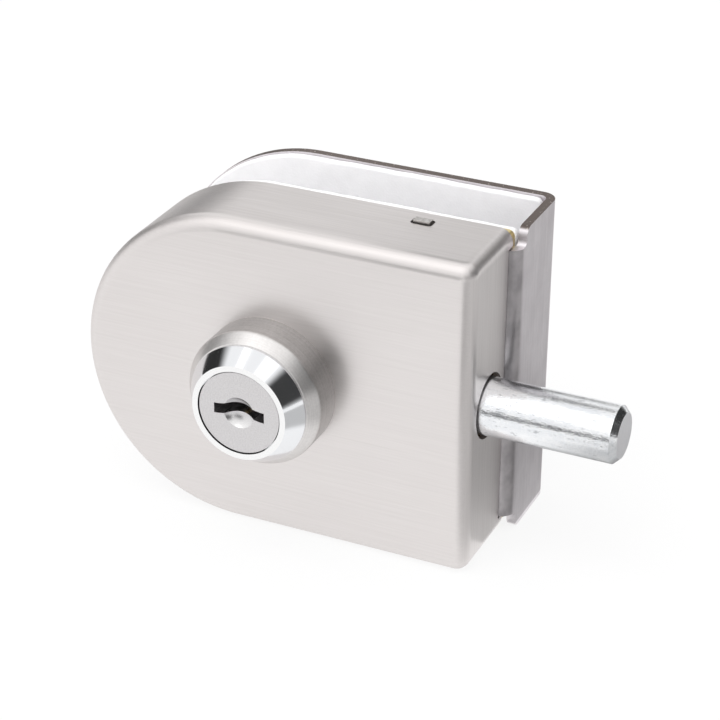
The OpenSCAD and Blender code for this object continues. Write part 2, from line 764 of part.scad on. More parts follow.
module cover_catch() {
    color("gainsboro") {
        block([catch_x - lug_length / 2, catch_y - lug_width / 2, catch_base_z - cut],
              [catch_x + lug_length / 2, catch_y + lug_width / 2, half_height + catch_proud]);
        block([catch_x - catch_base_length / 2, catch_y - catch_base_width / 2, catch_base_z - catch_base_t],
              [catch_x + catch_base_length / 2, catch_y + catch_base_width / 2, catch_base_z]);
        translate([catch_x, catch_y, stem_bottom_z])
            cylinder(h = catch_base_z - catch_base_t + lap - stem_bottom_z, r = catch_stem_r);
    }
}

module catch_spring() {
    color("lightgray") translate([catch_x, catch_y, tower_top_z]) difference() {
        cylinder(h = catch_spring_length, r = spring_out_r);
        translate([0, 0, -cut]) cylinder(h = catch_spring_length + 2 * cut, r = spring_in_r);
    }
}

// Quarter of a bent sheet round an axis along Z, on the flange's side and in front (-1) or behind (1)
module bend(x, y, sy, half) {
    translate([x, y, -half]) linear_extrude(2 * half) mirror([0, sy < 0 ? 1 : 0])
        difference() {
            quarter(bend_radius);
            circle(bend_inner);
        }
}

// Relief notch above the front bend, with its foot at the top of the front leg
module relief_notch() {
    far_y = leg_front_y - cut;
    top_z = half_height + cut;
    foot_y = front_bend_y - notch_radius;
    foot_z = leg_half + notch_radius;
    translate([bend_x - cut, 0, 0]) rotate([90, 0, 90]) linear_extrude(bend_radius + 2 * cut) {
        translate([far_y, foot_z]) square([front_bend_y - far_y, top_z - foot_z]);
        translate([far_y, leg_half]) square([foot_y - far_y, notch_radius + cut]);
        translate([foot_y, foot_z]) circle(notch_radius);
    }
}

module clamp_frame() {
    color("gainsboro") difference() {
        union() {
            // Rear plate, with the cover's outline
            slab(rear_plate_front_y, rear_plate_rear_y)
                d_outline(left_x + rear_plate_shift, bend_x, half_height, 0);
            bend(bend_x, rear_bend_y, 1, half_height);
            // Flange past the edge of the glass
            block([flange_in_x, front_bend_y, -half_height], [flange_out_x, rear_bend_y, half_height]);
            bend(bend_x, front_bend_y, -1, half_height);
            slab(leg_front_y, leg_rear_y) d_outline(leg_left_x, bend_x, leg_half, 0);
        }
        for (s = [-1, 1])
            rod_y(clamp_screw_x, s * screw_height, leg_front_y - cut, leg_rear_y + cut, screw_r);
        for (p = stud_places) rod_y(p[0], p[1], leg_front_y - cut, leg_rear_y + cut, stud_r + running_fit);
        for (x = screw_x, s = [-1, 1]) rod_y(x, s * screw_z, leg_front_y - cut, leg_rear_y + cut, m3_d / 2);
        for (s = [0, 1]) mirror([0, 0, s]) relief_notch();
        // Front corners of the flange
        for (s = [0, 1]) mirror([0, 0, s])
            translate([flange_in_x - cut, front_bend_y + flange_corner, half_height - flange_corner])
                rotate([90, 0, 90]) linear_extrude(sheet + 2 * cut) mirror([1, 0]) difference() {
                    square(flange_corner + cut);
                    circle(flange_corner);
                }
    }
}

module rear_pad() {
    left = left_x + rear_plate_shift + rear_pad_inset;
    color("white") intersection() {
        slab(glass_gap, rear_plate_front_y)
            d_outline(left, rear_pad_right_x, half_height - rear_pad_inset, pad_corner);
        // Its right edge follows the inside of the bend
        translate([0, 0, -half_height]) linear_extrude(2 * half_height) {
            translate([left, glass_gap]) square([bend_x - left, rear_pad_thickness]);
            translate([bend_x, rear_bend_y]) circle(r = bend_inner - running_fit, $fn = 48);
        }
    }
}

module clamp_nuts() {
    half = nut_width / 2;
    y0 = leg_front_y - nut_thickness;
    color("silver") for (s = [-1, 1]) difference() {
        block([clamp_screw_x - half, y0, s * screw_height - half],
              [clamp_screw_x + half, leg_front_y, s * screw_height + half]);
        rod_y(clamp_screw_x, s * screw_height, y0 - cut, leg_front_y + cut, screw_r);
    }
}

module clamp_screw(z) {
    y1 = plate_front_y - running_fit;
    y0 = y1 - screw_length;
    r = screw_r - running_fit;
    color("dimgray") difference() {
        rod_y(clamp_screw_x, z, y0, y1, r);
        translate([clamp_screw_x, y0 + socket_depth, z]) rotate([90, 0, 0])
            cylinder(h = socket_depth + cut, d = hex_af / cos(30), $fn = 6);
    }
}

module clamp_screw_upper() {
    clamp_screw(screw_height);
}

module clamp_screw_lower() {
    clamp_screw(-screw_height);
}

module plate_outline(right) {
    d_outline(left_x + plate_inset, right, half_height - plate_inset, pad_corner);
}

module pressure_plate() {
    color("gold") difference() {
        slab(plate_front_y, plate_rear_y) plate_outline(plate_right_x);
        for (p = stud_places) rod_y(p[0], p[1], plate_front_y - cut, plate_rear_y + cut, stud_r);
    }
}

module front_pad() {
    color("white") slab(plate_rear_y, 0) plate_outline(front_pad_right_x);
}

module guide_studs() {
    color("gray") for (p = stud_places) {
        rod_y(p[0], p[1], stud_head_y - stud_head_t, plate_rear_y, stud_r);
        rod_y(p[0], p[1], stud_head_y - stud_head_t, stud_head_y, stud_head_r);
    }
}

front_cover();
collar();
cylinder_housing();
cylinder_clip();
chamber_cap();
driver_springs();
driver_pins();
key_plug();
key_pins();
plug_clip();
drive_pinion();
drive_screw();
bolt();
bolt_rack();
bolt_screw();
bolt_bush();
lock_chassis();
rack_keeper();
keeper_screws();
chassis_screws();
cover_catch();
catch_spring();
clamp_frame();
rear_pad();
clamp_nuts();
clamp_screw_upper();
clamp_screw_lower();
pressure_plate();
front_pad();
guide_studs();
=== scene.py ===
# %% [markdown]
# # A clamp-on lock for a glass door
# The lock is a drawn and brushed steel cover, a turned collar with a chromed key cylinder, a round
# zinc plated bolt, and a bent clamp frame that holds two foam pads against the pane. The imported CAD
# model brings every rigid piece at its real size. This script gives each piece its finish, models
# again what the solids leave plain, which are the soft foam pads, the rounded collar and the coil
# springs, and sets up the studio.

# %% Load the frame
import math

import bpy
import numpy as np
from mathutils import Matrix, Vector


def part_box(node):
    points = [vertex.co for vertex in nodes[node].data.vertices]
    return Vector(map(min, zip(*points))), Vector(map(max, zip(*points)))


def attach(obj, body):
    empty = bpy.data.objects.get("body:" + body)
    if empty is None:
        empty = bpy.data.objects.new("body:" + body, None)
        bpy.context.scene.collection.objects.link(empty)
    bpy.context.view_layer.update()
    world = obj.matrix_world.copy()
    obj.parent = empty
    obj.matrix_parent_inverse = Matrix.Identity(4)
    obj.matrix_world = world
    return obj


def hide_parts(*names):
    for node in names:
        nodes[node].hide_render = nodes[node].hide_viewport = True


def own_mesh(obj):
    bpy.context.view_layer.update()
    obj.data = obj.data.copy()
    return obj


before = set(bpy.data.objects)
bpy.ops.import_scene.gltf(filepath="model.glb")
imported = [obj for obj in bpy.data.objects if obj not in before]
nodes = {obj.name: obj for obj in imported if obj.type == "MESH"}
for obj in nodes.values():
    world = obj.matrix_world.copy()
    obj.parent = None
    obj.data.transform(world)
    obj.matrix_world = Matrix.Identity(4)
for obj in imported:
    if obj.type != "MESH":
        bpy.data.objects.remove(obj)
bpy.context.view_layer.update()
MM = 0.001

# %% [markdown]
# A camera, a lamp or a grey card is placed most easily by two angles: how far round from the front,
# and how far up. One function turns the two angles into a direction. The camera and the lamps also
# need a matrix, and its columns are simply their own three axes and their place.

# %% Directions
def direction(azimuth, elevation):
    """The unit vector (sin a cos e, -cos a cos e, sin e). The azimuth a is in degrees and turns from
    the front to the right, and the elevation e rises."""
    a, e = math.radians(azimuth), math.radians(elevation)
    return np.array([math.sin(a) * math.cos(e), -math.cos(a) * math.cos(e), math.sin(e)])


def rightward(azimuth):
    """The level unit vector that points to the right, seen from an azimuth."""
    return direction(azimuth + 90.0, 0.0)


def set_axes(thing, right, up, back, place):
    """Writes an object's matrix, whose columns are its own X, Y and Z axes and its place."""
    matrix = np.eye(4)
    matrix[:3] = np.column_stack([right, up, back, place])
    thing.matrix_world = Matrix(matrix.tolist())


print("the front is towards", direction(0.0, 0.0).round(3))

# %% [markdown]
# The camera stands to the right of the cover and above it, as the photographer's did. Its place was
# worked out from the outlines of the cover, the plug and the bolt in the photograph. A long lens far
# away keeps the edges almost parallel, so the angles, the distance and the lens are all written as
# plain values, and the camera looks at a point in the middle of the lock.

# %% Camera
CAMERA_AZIMUTH = 24.44
CAMERA_ELEVATION = 27.86
CAMERA_ROLL = 0.44
CAMERA_DISTANCE = 391.07 * MM
CAMERA_FOCAL_PIXELS = 2283.26
CAMERA_TARGET = np.array([7.24, 0.5, -3.53]) * MM
IMAGE_SIZE = 720
SENSOR_WIDTH = 36.0
NEAREST_SEEN, FARTHEST_SEEN = 0.01, 50.0


def aim_camera():
    """Stands the camera on a ray from the target, and turns it by the roll r about its own axis: its
    right is level cos r + up sin r."""
    back = direction(CAMERA_AZIMUTH, CAMERA_ELEVATION)
    level = rightward(CAMERA_AZIMUTH)
    roll = math.radians(CAMERA_ROLL)
    right = level * math.cos(roll) + np.cross(back, level) * math.sin(roll)
    lens = bpy.data.cameras.new("camera")
    lens.lens = CAMERA_FOCAL_PIXELS * SENSOR_WIDTH / IMAGE_SIZE
    lens.sensor_width = SENSOR_WIDTH
    lens.clip_start, lens.clip_end = NEAREST_SEEN, FARTHEST_SEEN
    camera = bpy.data.objects.new("camera", lens)
    bpy.context.scene.collection.objects.link(camera)
    set_axes(camera, right, np.cross(back, right), back, CAMERA_TARGET + back * CAMERA_DISTANCE)
    bpy.context.scene.camera = camera
    return camera


print("lens", round(aim_camera().data.lens, 1), "mm")

# %% [markdown]
# A shader is easier to read as a formula than as a list of links. A small class wraps a socket and
# turns `+`, `-` and `*` into Math nodes. Its other methods name the three sums that a metal finish
# needs most: the size of a number without its sign, the larger of two, and a smooth step.

# %% Shader arithmetic
class Socket:
    """One output of a shader node. Arithmetic on it adds Math nodes."""

    def __init__(self, finish, output):
        self.finish = finish
        self.output = output

    def math(self, operation, *terms):
        """A Math node on the given terms."""
        return self.finish.node("ShaderNodeMath", {"operation": operation}, *terms)[0]

    def __add__(self, other):
        return self.math("ADD", self, other)

    def __radd__(self, other):
        return self.math("ADD", other, self)

    def __sub__(self, other):
        return self.math("SUBTRACT", self, other)

    def __rsub__(self, other):
        return self.math("SUBTRACT", other, self)

    def __mul__(self, other):
        return self.math("MULTIPLY", self, other)

    def __rmul__(self, other):
        return self.math("MULTIPLY", other, self)

    def absolute(self):
        """The number without its sign."""
        return self.math("ABSOLUTE", self)

    def larger(self, other):
        """The larger of two numbers."""
        return self.math("MAXIMUM", self, other)

    def above(self, low, high):
        """A smooth step: 0 below low, 1 above high."""
        return self.finish.node("ShaderNodeMapRange", {"interpolation_type": "SMOOTHSTEP"},
                                self, low, high, 0.0, 1.0)[0]


class Outputs:
    """The outputs of one node, by name or by number."""

    def __init__(self, finish, node):
        self.finish = finish
        self.node = node

    def __getitem__(self, key):
        return Socket(self.finish, self.node.outputs[key])


print("sockets add, subtract and multiply")

# %% [markdown]
# Every finish is a node tree with the same start: the place of a point on the lock and the way that
# its surface faces. One method adds any node, with its settings first and then the values or links of
# its sockets, and short methods on top of it add what nearly every finish uses: noise, a mix of two
# colours, a bump and the surface that closes it.

# %% A finish
class Finish:
    """A shader that is built from node(), with the usual coordinates at hand. It belongs to a material
    of its own, or to the world where the world's data is given."""

    def __init__(self, name, owner=None):
        self.owner = owner or bpy.data.materials.new(name)
        self.owner.use_nodes = True
        self.tree = self.owner.node_tree
        self.tree.nodes.clear()
        coordinates = self.node("ShaderNodeTexCoord", {})
        self.place = coordinates["Object"]
        self.facing = coordinates["Normal"]

    def node(self, kind, settings, *values, **named):
        """Adds a node: settings first, then socket values in order, or by name with _ for a space."""
        node = self.tree.nodes.new(kind)
        for key, value in settings.items():
            setattr(node, key, value)
        pairs = [(node.inputs[i], value) for i, value in enumerate(values)]
        pairs += [(node.inputs[key.replace("_", " ")], value) for key, value in named.items()]
        for target, value in pairs:
            self.feed(target, value)
        return Outputs(self, node)

    def feed(self, target, value):
        """Links a socket's value to an input, or sets the input to a plain value."""
        if isinstance(value, Socket):
            self.tree.links.new(value.output, target)
        else:
            target.default_value = value

    def noise(self, scale, detail=2.0, roughness=0.5, place=None):
        """Noise from 0 to 1. The scale is its grains a metre, one number or one for each axis."""
        scale = scale if isinstance(scale, tuple) else (scale, scale, scale)
        stretched = self.node("ShaderNodeVectorMath", {"operation": "MULTIPLY"},
                              place or self.place, scale)["Vector"]
        return self.node("ShaderNodeTexNoise", {}, Vector=stretched, Scale=1.0,
                         Detail=detail, Roughness=roughness)["Fac"]

    def axes(self, vector):
        """The three numbers of a vector."""
        split = self.node("ShaderNodeSeparateXYZ", {}, vector)
        return split["X"], split["Y"], split["Z"]

    def from_key_axis(self):
        """The distance from the key axis, which is the Y axis: the root of x x + z z."""
        x, _, z = self.axes(self.place)
        return x.math("SQRT", x * x + z * z)

    def mix(self, factor, low, high):
        """A colour between two, by a factor."""
        node = self.node("ShaderNodeMix", {"data_type": "RGBA"}, factor).node
        colours = {socket.name: socket for socket in node.inputs if socket.type == "RGBA"}
        for name, value in (("A", low), ("B", high)):
            self.feed(colours[name], value if isinstance(value, Socket) else (*value, 1.0))
        return Socket(self, [socket for socket in node.outputs if socket.type == "RGBA"][0])

    def bump(self, height, strength, distance):
        """A Bump node on a height field, with its distance in metres."""
        return self.node("ShaderNodeBump", {}, Strength=strength, Distance=distance,
                         Height=height)["Normal"]

    def surface(self, **sockets):
        """Closes the shader with a Principled surface, and returns the material."""
        body = self.node("ShaderNodeBsdfPrincipled", {}, **sockets)
        self.node("ShaderNodeOutputMaterial", {}, Surface=body["BSDF"])
        return self.owner


FINISHES = {}
print("a finish starts from a place and a facing")

# %% [markdown]
# The cover is stainless sheet, brushed with a belt. A brushed surface is a set of very long, very thin
# scratches. Noise that is stretched along the belt's path and squeezed across it gives just that, and
# it drives three things at once: a slight change of colour, of roughness and of height. The belt runs
# along the cover, and up and down its bolt side, so the two directions are mixed by the way that the
# surface faces. The lines are faint on the wide face, and the drawn bends are a little duller.

# %% Brushed cover
ALONG, ACROSS_FINE, ACROSS_COARSE = 60.0, 7000.0, 2200.0
COVER_DARK, COVER_LIGHT = (0.715, 0.680, 0.668), (0.825, 0.79, 0.78)
FACE_CONTRAST = 0.45


def brushed(finish):
    """Noise stretched along X, or along Z where the surface faces X, from 0 to 1."""
    lengthwise = (finish.noise((ALONG, ACROSS_FINE, ACROSS_FINE), 3.0, 0.6) * 0.5
                  + finish.noise((ALONG, ACROSS_COARSE, ACROSS_COARSE), 2.0, 0.6) * 0.5)
    upright = (finish.noise((ACROSS_FINE, ACROSS_FINE, ALONG), 3.0, 0.6) * 0.5
               + finish.noise((ACROSS_COARSE, ACROSS_COARSE, ALONG), 2.0, 0.6) * 0.5)
    side = finish.axes(finish.facing)[0].absolute().above(0.6, 0.8)
    return lengthwise * (1.0 - side) + upright * side


def cover_steel():
    """Pale brushed stainless steel, with broad soft clouds under the fine lines. A bend is where the
    largest of the three numbers of the facing is well below 1."""
    finish = Finish("brushed_cover_steel")
    lines = brushed(finish)
    clouds = finish.noise(25.0)
    tone = lines * 0.65 + clouds * 0.35
    facing_x, facing_y, facing_z = (axis.absolute() for axis in finish.axes(finish.facing))
    contrast = FACE_CONTRAST + (1.0 - FACE_CONTRAST) * (1.0 - facing_y.above(0.5, 0.9))
    colour = finish.mix((0.5 + (tone - 0.5) * contrast).above(0.33, 0.67), COVER_DARK, COVER_LIGHT)
    bend = 1.0 - facing_x.larger(facing_y).larger(facing_z).above(0.8, 1.0)
    return finish.surface(Base_Color=colour, Metallic=1.0, Roughness=0.29 + lines * 0.1 + bend * 0.12,
                          Normal=finish.bump(lines, 0.4, 0.05 * MM))


FINISHES["front_cover"] = cover_steel()
print(FINISHES["front_cover"].name)

# %% [markdown]
# The clamp frame is bent from a second, darker sheet. Its front bend is mottled and painted darker,
# as painted shade beside the cover's side wall, and the shears have left its cut edges dark and
# rough. A mask for each is worked out from where the point lies and the way that it faces: the front
# bend turns away from X, the cut ends are at the very top and bottom, and the cut round edge is on the
# rear plate's left half.

# %% Clamp frame
FRAME_DARK, FRAME_LIGHT = (0.66, 0.625, 0.645), (0.80, 0.765, 0.785)
# The bend's tones are darkened as painted shade.
BEND_SHADE_DARK, BEND_SHADE_LIGHT = (0.36, 0.34, 0.35), (0.52, 0.495, 0.505)
CUT_DARK, CUT_LIGHT = (0.20, 0.165, 0.15), (0.62, 0.57, 0.53)
FRAME_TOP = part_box("clamp_frame")[1][2]
FRONT_BEND_END = 5.0 * MM
REAR_PLATE_START = 11.2 * MM


def frame_steel():
    """The clamp frame's satin sheet, darker, with a mottled front bend that is painted darker as painted
    shade, and raw cut edges.
    """
    finish = Finish("satin_frame_steel")
    x, y, z = finish.axes(finish.place)
    facing_x, facing_y, facing_z = finish.axes(finish.facing)
    lines = brushed(finish)
    mottle = finish.noise((260.0, 260.0, 180.0), 3.0, 0.65)
    flat = finish.mix((lines * 0.6 + mottle * 0.4).above(0.32, 0.68), FRAME_DARK, FRAME_LIGHT)
    # The front bend's mottle is its own; its darker tones are painted shade.
    bend = (facing_x.above(0.1, 0.3) * (1.0 - facing_x.above(0.9, 0.99))
            * (FRONT_BEND_END - y).above(0.0, 1.0 * MM))
    satin = finish.mix(bend, flat, finish.mix(mottle.above(0.3, 0.7), BEND_SHADE_DARK, BEND_SHADE_LIGHT))
    cut_ends = (facing_z.absolute().above(0.25, 0.4)
                * z.absolute().above(FRAME_TOP - 0.6 * MM, FRAME_TOP - 0.2 * MM))
    cut_round = ((y - REAR_PLATE_START).above(0.0, 0.4 * MM) * (0.0 - x).above(0.0, 1.0 * MM)
                 * (1.0 - facing_y.absolute().above(0.6, 0.75)))
    cut = cut_ends.larger(cut_round)
    specks = finish.noise(1500.0, 2.0, 0.7).above(0.62, 0.72)
    colour = finish.mix(cut, satin, finish.mix(specks, CUT_DARK, CUT_LIGHT))
    return finish.surface(Base_Color=colour, Metallic=1.0, Roughness=0.3 + lines * 0.12 + cut * 0.12,
                          Normal=finish.bump(lines + mottle * 0.5, 0.3, 0.02 * MM))


FINISHES["clamp_frame"] = frame_steel()
print(FINISHES["clamp_frame"].name)

# %% [markdown]
# The collar is turned on a lathe, so its marks are rings round the key axis. Every point is given its
# distance from the axis and its depth, and noise that changes fast with both of them draws fine rings
# on the flat, the bevel and the side alike. An abrasive pad was then wiped across the rings. Noise on
# the cosine and sine of the angle gives those faint spokes, with no seam where the angle starts again.

# %% Turned collar
RINGS, SPOKES, SPOKES_IN_DEPTH = 4200.0, 26.0, 30.0
BEVEL_DARK, BEVEL_LIGHT = (0.66, 0.64, 0.63), (0.77, 0.75, 0.74)
# The side wall's tones are darkened as painted shade.
WALL_SHADE_DARK, WALL_SHADE_LIGHT = (0.42, 0.41, 0.40), (0.56, 0.545, 0.54)


def turned(finish):
    """Noise that changes with the distance from the key axis and with the depth, from 0 to 1."""
    depth = finish.axes(finish.place)[1]
    place = finish.node("ShaderNodeCombineXYZ", {}, finish.from_key_axis(), depth, 0.0)["Vector"]
    return finish.noise(RINGS, 2.0, 0.5, place)


def spokes(finish):
    """Noise on (x / r, depth, z / r), where r is the distance from the key axis, from 0 to 1."""
    x, depth, z = finish.axes(finish.place)
    radius = finish.from_key_axis()
    place = finish.node("ShaderNodeCombineXYZ", {}, x.math("DIVIDE", x, radius),
                        depth * SPOKES_IN_DEPTH, z.math("DIVIDE", z, radius))["Vector"]
    return finish.noise(SPOKES, 3.0, 0.6, place)


def collar_steel():
    """Satin steel with fine turned rings, wiped across them with an abrasive pad. The bevel keeps a
    lighter tone, and the side wall is painted darker as painted shade."""
    finish = Finish("turned_collar_steel")
    rings, streaks, grain = turned(finish), spokes(finish), finish.noise(3000.0)
    tone = (rings * 0.4 + streaks * 0.25 + grain * 0.35).above(0.3, 0.7)
    bevel = finish.axes(finish.facing)[1].absolute().above(0.08, 0.4)
    # The side wall's darker colour is painted shade; the bevel keeps its lighter turned tone.
    colour = finish.mix(bevel, finish.mix(tone, WALL_SHADE_DARK, WALL_SHADE_LIGHT),
                        finish.mix(tone, BEVEL_DARK, BEVEL_LIGHT))
    return finish.surface(Base_Color=colour, Metallic=1.0,
                          Roughness=0.28 + grain * 0.08 + streaks * 0.05,
                          Normal=finish.bump(rings, 0.3, 0.02 * MM))


FINISHES["collar"] = collar_steel()
print(FINISHES["collar"].name)

# %% [markdown]
# The key cylinder's head is polished and chromed, so it needs little of its own: what it mirrors does
# the work. Its flat rim is slightly duller than its cone. The plug in it is nickel plated over a finely
# blasted face, with a round dish behind the key slot whose colour is painted shade above and painted
# highlight below.

# %% Key cylinder
CHROME_CONE, CHROME_RIM = (0.86, 0.87, 0.89), (0.93, 0.93, 0.93)
PLUG_DARK, PLUG_LIGHT = (0.62, 0.605, 0.61), (0.73, 0.715, 0.72)
DISH_SHADE, DISH_HIGHLIGHT = (0.48, 0.47, 0.48), (0.92, 0.91, 0.91)
DISH_RADIUS = 2.8 * MM
PLUG_FACE_DEPTH = 28.0 * MM


def chrome():
    """Polished chrome plate, clean and hard, with the faintest waviness."""
    finish = Finish("chrome_plate")
    rim = (0.0 - finish.axes(finish.facing)[1]).above(0.9, 0.97)
    return finish.surface(Base_Color=finish.mix(rim, CHROME_CONE, CHROME_RIM), Metallic=1.0,
                          Roughness=0.1 + rim * 0.1,
                          Normal=finish.bump(finish.noise(160.0, 1.0), 0.05, 0.1 * MM))


def plug_metal():
    """Nickel plate over a finely blasted face. The dish is what slopes within its radius, and its colour
    is painted shade where it faces down and painted highlight where it faces up.
    """
    finish = Finish("satin_plug_plate")
    _, facing_y, facing_z = finish.axes(finish.facing)
    forward = 0.0 - finish.axes(finish.place)[1]
    grain = finish.noise(4200.0, 3.0, 0.65)
    plate = finish.mix(grain.above(0.3, 0.7), PLUG_DARK, PLUG_LIGHT)
    dish = ((1.0 - finish.from_key_axis().above(DISH_RADIUS - 0.1 * MM, DISH_RADIUS))
            * forward.above(PLUG_FACE_DEPTH - 1.0 * MM, PLUG_FACE_DEPTH))
    sloping = 1.0 - facing_y.absolute().above(0.98, 0.999)
    # Painted shade where the dish faces down, painted highlight where it faces up.
    dish_shade_and_highlight = finish.mix(facing_z.above(-0.3, 0.8), DISH_SHADE, DISH_HIGHLIGHT)
    return finish.surface(Base_Color=finish.mix(dish * sloping, plate, dish_shade_and_highlight), Metallic=1.0,
                          Roughness=0.3 + grain * 0.12 - dish * 0.1,
                          Normal=finish.bump(grain, 0.3, 0.02 * MM))


FINISHES["cylinder_housing"] = chrome()
FINISHES["key_plug"] = plug_metal()
print(FINISHES["cylinder_housing"].name, FINISHES["key_plug"].name)

# %% [markdown]
# Two pieces are plated with zinc. The bolt's is bright and faintly blue, on a rod whose drawing marks
# show through it, and a fine grain breaks up whatever it mirrors, so a dark card shows as a speckled
# streak and not as a line. The pressure plate's is passivated yellow, which is never one colour.

# %% Zinc plate
BOLT_DARK, BOLT_LIGHT = (0.82, 0.84, 0.87), (0.97, 0.975, 0.985)
BOLT_SPECK, BOLT_END = (0.40, 0.41, 0.43), (0.97, 0.96, 0.98)
YELLOW_DARK, YELLOW_LIGHT = (0.80, 0.62, 0.26), (0.90, 0.80, 0.50)


def bolt_plate():
    """Bright zinc on a drawn rod, with soft marks along it, a fine grain and a faint blue tint. The
    sawn end faces X and is duller."""
    finish = Finish("bright_zinc_bolt")
    drawn = finish.noise((60.0, 900.0, 900.0), 3.0, 0.6)
    spots = finish.noise(500.0, 3.0, 0.7)
    specks = finish.noise((500.0, 1500.0, 1500.0), 3.0, 0.7).above(0.58, 0.7)
    grain = finish.noise((2200.0, 3200.0, 3200.0), 2.0, 0.6)
    end = finish.axes(finish.facing)[0].above(0.9, 0.98)
    plate = finish.mix((drawn * 0.5 + spots * 0.5).above(0.3, 0.7), BOLT_DARK, BOLT_LIGHT)
    rod = finish.mix(specks * (1.0 - end) * 0.7, plate, BOLT_SPECK)
    return finish.surface(Base_Color=finish.mix(end * 0.7, rod, BOLT_END), Metallic=1.0,
                          Roughness=0.11 + spots * 0.14 + specks * 0.1 + end * 0.3,
                          Normal=finish.bump(drawn * 0.8 + spots + grain * 2.0, 0.3, 0.05 * MM))


def yellow_zinc():
    """Yellow passivated zinc, which shifts between straw, amber and a trace of green."""
    finish = Finish("yellow_zinc_plate")
    clouds = finish.noise(120.0, 3.0, 0.6)
    return finish.surface(Base_Color=finish.mix(clouds.above(0.35, 0.65), YELLOW_DARK, YELLOW_LIGHT),
                          Metallic=1.0, Roughness=0.24 + clouds * 0.15,
                          Normal=finish.bump(clouds, 0.1, 0.1 * MM))


FINISHES["bolt"] = bolt_plate()
FINISHES["pressure_plate"] = yellow_zinc()
print(FINISHES["bolt"].name, FINISHES["pressure_plate"].name)

# %% [markdown]
# The works behind the cover are finished too, because the lock can be opened. They are plain metals,
# and what tells them apart is their colour, how dull they are and the size of their grain: coarse on
# cast zinc, finer on sintered steel and bronze. One function makes them all from a table.

# %% Hidden works
WORKS = [
    # finish, dark tone, light tone, roughness, size of the grain, pieces
    ("zinc_plated_screws", (0.58, 0.60, 0.63), (0.78, 0.80, 0.83), 0.2, 0.6 * MM,
     ["keeper_screws", "chassis_screws", "bolt_screw", "drive_screw"]),
    ("plain_steel_sheet", (0.50, 0.50, 0.50), (0.68, 0.68, 0.68), 0.3, 0.6 * MM,
     ["bolt_rack", "rack_keeper", "clamp_nuts", "guide_studs"]),
    ("spring_steel", (0.28, 0.28, 0.30), (0.46, 0.46, 0.48), 0.25, 0.6 * MM,
     ["cylinder_clip", "plug_clip", "driver_springs", "catch_spring"]),
    ("turned_brass", (0.70, 0.52, 0.24), (0.86, 0.70, 0.38), 0.2, 0.6 * MM,
     ["chamber_cap", "driver_pins", "key_pins"]),
    ("cast_zinc", (0.44, 0.44, 0.45), (0.60, 0.60, 0.61), 0.45, 0.9 * MM, ["lock_chassis"]),
    ("catch_steel", (0.50, 0.48, 0.46), (0.70, 0.68, 0.66), 0.25, 0.6 * MM, ["cover_catch"]),
    ("sintered_steel", (0.36, 0.36, 0.37), (0.54, 0.54, 0.55), 0.4, 0.4 * MM, ["drive_pinion"]),
    ("oiled_bronze", (0.16, 0.11, 0.07), (0.27, 0.19, 0.12), 0.4, 0.4 * MM, ["bolt_bush"]),
    ("black_oxide_screws", (0.04, 0.04, 0.045), (0.10, 0.10, 0.11), 0.35, 0.6 * MM,
     ["clamp_screw_upper", "clamp_screw_lower"]),
]


def plain_metal(name, dark, light, roughness, grain_size):
    """A metal of the hidden works: two tones that meet in a grain of a given size."""
    finish = Finish(name)
    grain = finish.noise(1.0 / grain_size, 3.0, 0.6)
    return finish.surface(Base_Color=finish.mix(grain.above(0.3, 0.7), dark, light), Metallic=1.0,
                          Roughness=roughness + grain * 0.12, Normal=finish.bump(grain, 0.25, 0.04 * MM))


for name, dark, light, roughness, grain_size, pieces in WORKS:
    FINISHES.update(dict.fromkeys(pieces, plain_metal(name, dark, light, roughness, grain_size)))
print(len(WORKS), "metals of the works")

# %% [markdown]
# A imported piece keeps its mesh, which is right as it is, and takes its finish through the material
# slots of its object. The pieces that the next cells model again keep their finish here as well.

# %% Dress the CAD pieces
def dress(node_name, material):
    """Gives every slot of a CAD piece one material, and leaves its mesh alone."""
    for slot in nodes[node_name].material_slots:
        slot.material = material


for node_name, material in FINISHES.items():
    dress(node_name, material)
print(len(FINISHES), "pieces dressed")

# %% [markdown]
# Each new piece is a surface on a grid of rows and columns. The columns close on themselves, as the
# points round a pad or a wire do, and the rows either close too, as round a ring, or stop at two ends.
# The faces come from the grid's own numbering, so one function serves the pads, the collar and the
# springs, and another puts points and faces into a mesh.

# %% Grids and meshes
def grid_faces(rows, columns, rows_close=False):
    """Quads (i, j), (i, j + 1), (i + 1, j + 1), (i + 1, j) of a grid that is numbered row by row."""
    i, j = np.meshgrid(np.arange(rows if rows_close else rows - 1), np.arange(columns), indexing="ij")
    next_i, next_j = (i + 1) % rows, (j + 1) % columns
    corners = [i * columns + j, i * columns + next_j, next_i * columns + next_j, next_i * columns + j]
    return np.stack(corners, 2).reshape(-1, 4)


def new_piece(name, points, faces, material):
    """A smooth mesh object at the origin, in the scene."""
    mesh = bpy.data.meshes.new(name)
    mesh.from_pydata(points.tolist(), [], faces)
    mesh.validate()
    mesh.shade_smooth()
    mesh.materials.append(material)
    piece = bpy.data.objects.new(name, mesh)
    bpy.context.scene.collection.objects.link(piece)
    return piece


print("a ring of 3 by 4 has", len(grid_faces(3, 4, rows_close=True)), "faces")

# %% [markdown]
# The pads are white closed-cell foam. It scatters light a little below its skin and its cut faces show
# fine cells. Small Voronoi cells in the height, and a slight change of tone, are enough at this size.

# %% Foam
FOAM_DARK, FOAM_LIGHT = (0.93, 0.925, 0.935), (0.97, 0.965, 0.975)
FOAM_CELLS = 2400.0


def foam():
    """Matt white foam with fine cells."""
    finish = Finish("white_foam")
    cells = finish.node("ShaderNodeTexVoronoi", {"feature": "F1"}, Vector=finish.place,
                        Scale=FOAM_CELLS)["Distance"]
    colour = finish.mix(finish.noise(300.0).above(0.3, 0.7), FOAM_DARK, FOAM_LIGHT)
    return finish.surface(Base_Color=colour, Metallic=0.0, Roughness=0.85,
                          Normal=finish.bump(cells, 0.5, 0.06 * MM))


white_foam = foam()
print(white_foam.name)

